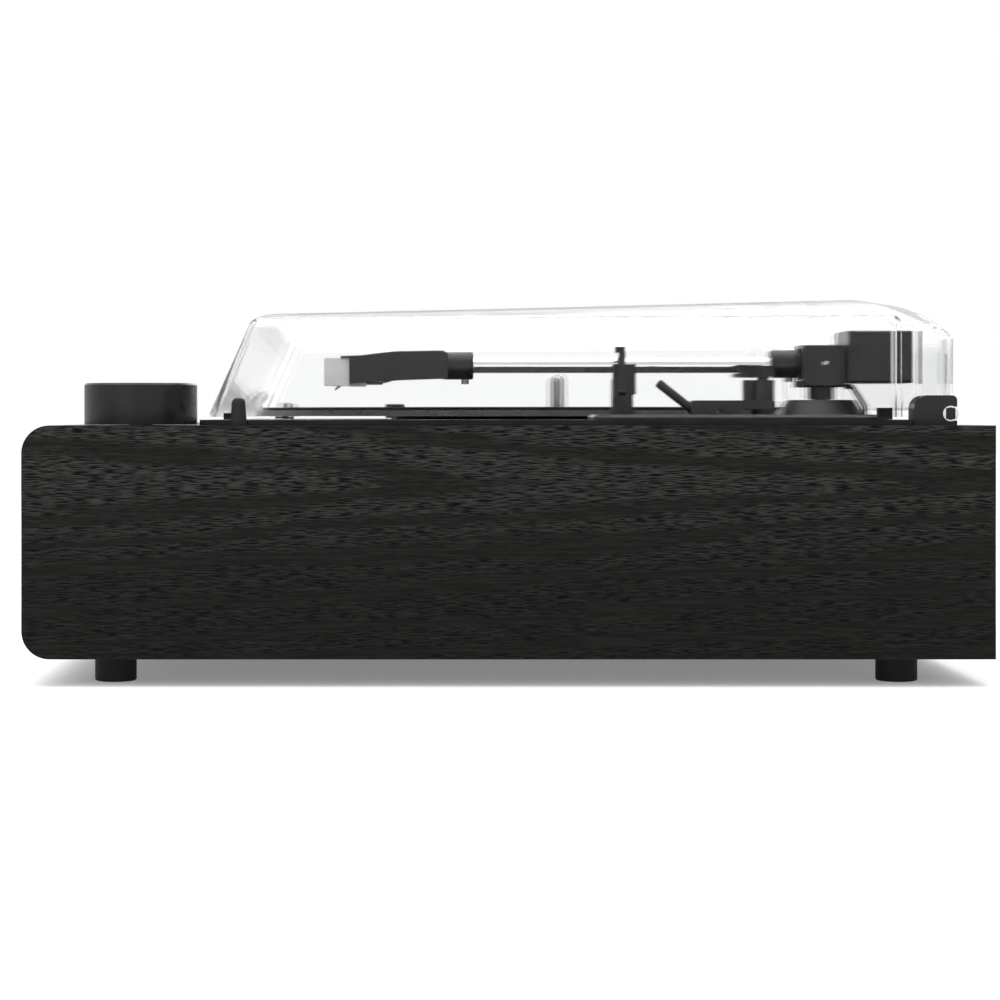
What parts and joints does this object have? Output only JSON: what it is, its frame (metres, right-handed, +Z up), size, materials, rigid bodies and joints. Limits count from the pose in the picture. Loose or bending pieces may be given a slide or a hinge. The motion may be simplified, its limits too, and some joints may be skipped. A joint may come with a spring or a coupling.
{
  "type": "record player",
  "caption": "Belt-drive record player in a black veneered cabinet with a hinged clear dust cover, straight tonearm with cueing lever, and a large volume knob.",
  "frame": {"origin": "on the surface the feet stand on, under the middle of the cabinet", "axes": "+X to the player's right, -Y to its front, +Z up"},
  "size_m": [0.44, 0.4, 0.167],
  "materials": {
    "black_veneer": "open-pore black-stained ash veneer, satin",
    "board_core": "painted fibreboard",
    "grille_cloth": "woven black cloth on a board",
    "black_plastic": "moulded black, satin",
    "black_metal": "black painted, satin",
    "rubber": "matt",
    "mat_rubber": "matt, ribbed",
    "steel": "brushed",
    "brass": "turned",
    "chrome": "polished",
    "silver_plastic": "silver, satin",
    "white_plastic": "natural nylon sleeve over a steel pin, satin",
    "needle": "black anodised",
    "jack_metal": "nickel plated",
    "circuit": "solder-masked",
    "electronics": "mixed parts, satin",
    "clear_plastic": "clear, polished"
  },
  "bodies": {
    "chassis": {"side_panel_right": "black_veneer", "side_panel_left": "black_veneer", "top_panel": "black_veneer", "bottom_panel": "black_veneer", "front_baffle": "board_core", "speaker_grille": "grille_cloth", "speaker_drivers": "electronics", "speaker_cones": "black_plastic", "rear_panel": "board_core", "feet": "rubber", "power_inlet": "black_plastic", "power_switch_case": "black_plastic", "signal_jacks": "jack_metal", "amplifier_board": "circuit", "board_parts": "electronics", "transformer": "electronics", "deck_plate": "black_metal", "deck_screws": "black_metal", "lid_posts": "rubber", "slide_switches": "black_plastic", "volume_pot": "steel", "platter_well": "black_plastic", "drive_screws": "steel", "bearing_housing": "steel", "bearing_bush": "brass", "drive_belt": "rubber", "motor": "steel", "motor_grommets": "rubber", "arm_platform": "black_plastic", "arm_base": "black_plastic", "arm_rest": "black_plastic", "lift_bracket": "black_plastic", "arm_lead": "rubber", "hinge_bases": "black_plastic"},
    "platter_body": {"platter": "black_metal", "platter_mat": "mat_rubber", "spindle": "steel"},
    "motor_rotor": {"motor_pulley": "steel"},
    "volume_control": {"volume_knob": "black_metal"},
    "speed_slider": {"speed_selector": "black_plastic"},
    "auto_stop_slider": {"auto_stop_switch": "black_plastic"},
    "power_button": {"power_rocker": "black_plastic"},
    "turret": {"arm_turret": "black_metal", "pivot_screws": "steel"},
    "tonearm": {"pivot_block": "black_metal", "arm_tube": "chrome", "arm_sleeve": "black_plastic", "arm_collar": "black_plastic", "arm_screws": "steel", "headshell": "black_plastic", "cartridge": "silver_plastic", "stylus": "needle", "counterweight": "black_metal"},
    "rest_clip": {"arm_clip": "black_plastic"},
    "cue": {"cue_lever": "black_plastic"},
    "lift": {"lift_bar": "black_plastic"},
    "lid": {"dust_cover": "clear_plastic", "cover_bumpers": "rubber", "hinge_leaves": "clear_plastic", "hinge_pins": "white_plastic"}
  },
  "joints": [
    {"name": "platter_spin", "type": "hinge", "parent": "chassis", "child": "platter_body", "pos_m": [-0.01, 0.0323, 0.112], "axis": [0, 0, -1], "continuous": true},
    {"name": "motor_spin", "type": "hinge", "parent": "chassis", "child": "motor_rotor", "pos_m": [-0.08, -0.0377, 0.102], "axis": [0, 0, -1], "continuous": true},
    {"name": "volume_turn", "type": "hinge", "parent": "chassis", "child": "volume_control", "pos_m": [0.175, -0.1555, 0.115], "axis": [0, 0, -1], "range_deg": [0, 300]},
    {"name": "speed_slide", "type": "slide", "parent": "chassis", "child": "speed_slider", "axis": [0, 1, 0], "range_m": [0, 0.012]},
    {"name": "auto_stop_slide", "type": "slide", "parent": "chassis", "child": "auto_stop_slider", "axis": [0, 1, 0], "range_m": [0, 0.006]},
    {"name": "power_rock", "type": "hinge", "parent": "chassis", "child": "power_button", "pos_m": [-0.115, 0.1945, 0.06], "axis": [1, 0, 0], "range_deg": [0, 14]},
    {"name": "arm_yaw", "type": "hinge", "parent": "chassis", "child": "turret", "pos_m": [0.155, 0.1381, 0.118], "axis": [0, 0, -1], "range_deg": [0, 43], "deforming": ["arm_lead"]},
    {"name": "arm_tilt", "type": "hinge", "parent": "turret", "child": "tonearm", "pos_m": [0.155, 0.1381, 0.1342], "axis": [1, 0, 0], "range_deg": [0, 1.5]},
    {"name": "clip_swing", "type": "hinge", "parent": "chassis", "child": "rest_clip", "pos_m": [0.163, 0.051, 0.1218], "axis": [0, 1, 0], "range_deg": [0, 50]},
    {"name": "cue_lift", "type": "hinge", "parent": "chassis", "child": "cue", "pos_m": [0.18, 0.0844, 0.1102], "axis": [-1, 0, 0], "range_deg": [0, 52]},
    {"name": "lift_drop", "type": "slide", "parent": "chassis", "child": "lift", "axis": [0, 0, -1], "range_m": [0, 0.0014]},
    {"name": "lid_open", "type": "hinge", "parent": "chassis", "child": "lid", "pos_m": [0, 0.1842, 0.1124], "axis": [-1, 0, 0], "range_deg": [0, 65]}
  ],
  "couplings": [
    {"joint": "motor_spin", "follows": "platter_spin", "ratio": 12.728},
    {"joint": "arm_tilt", "follows": "lift_drop", "rad_per_m": 18.699},
    {"joint": "cue_lift", "follows": "lift_drop", "rad_per_m": 648.25}
  ]
}
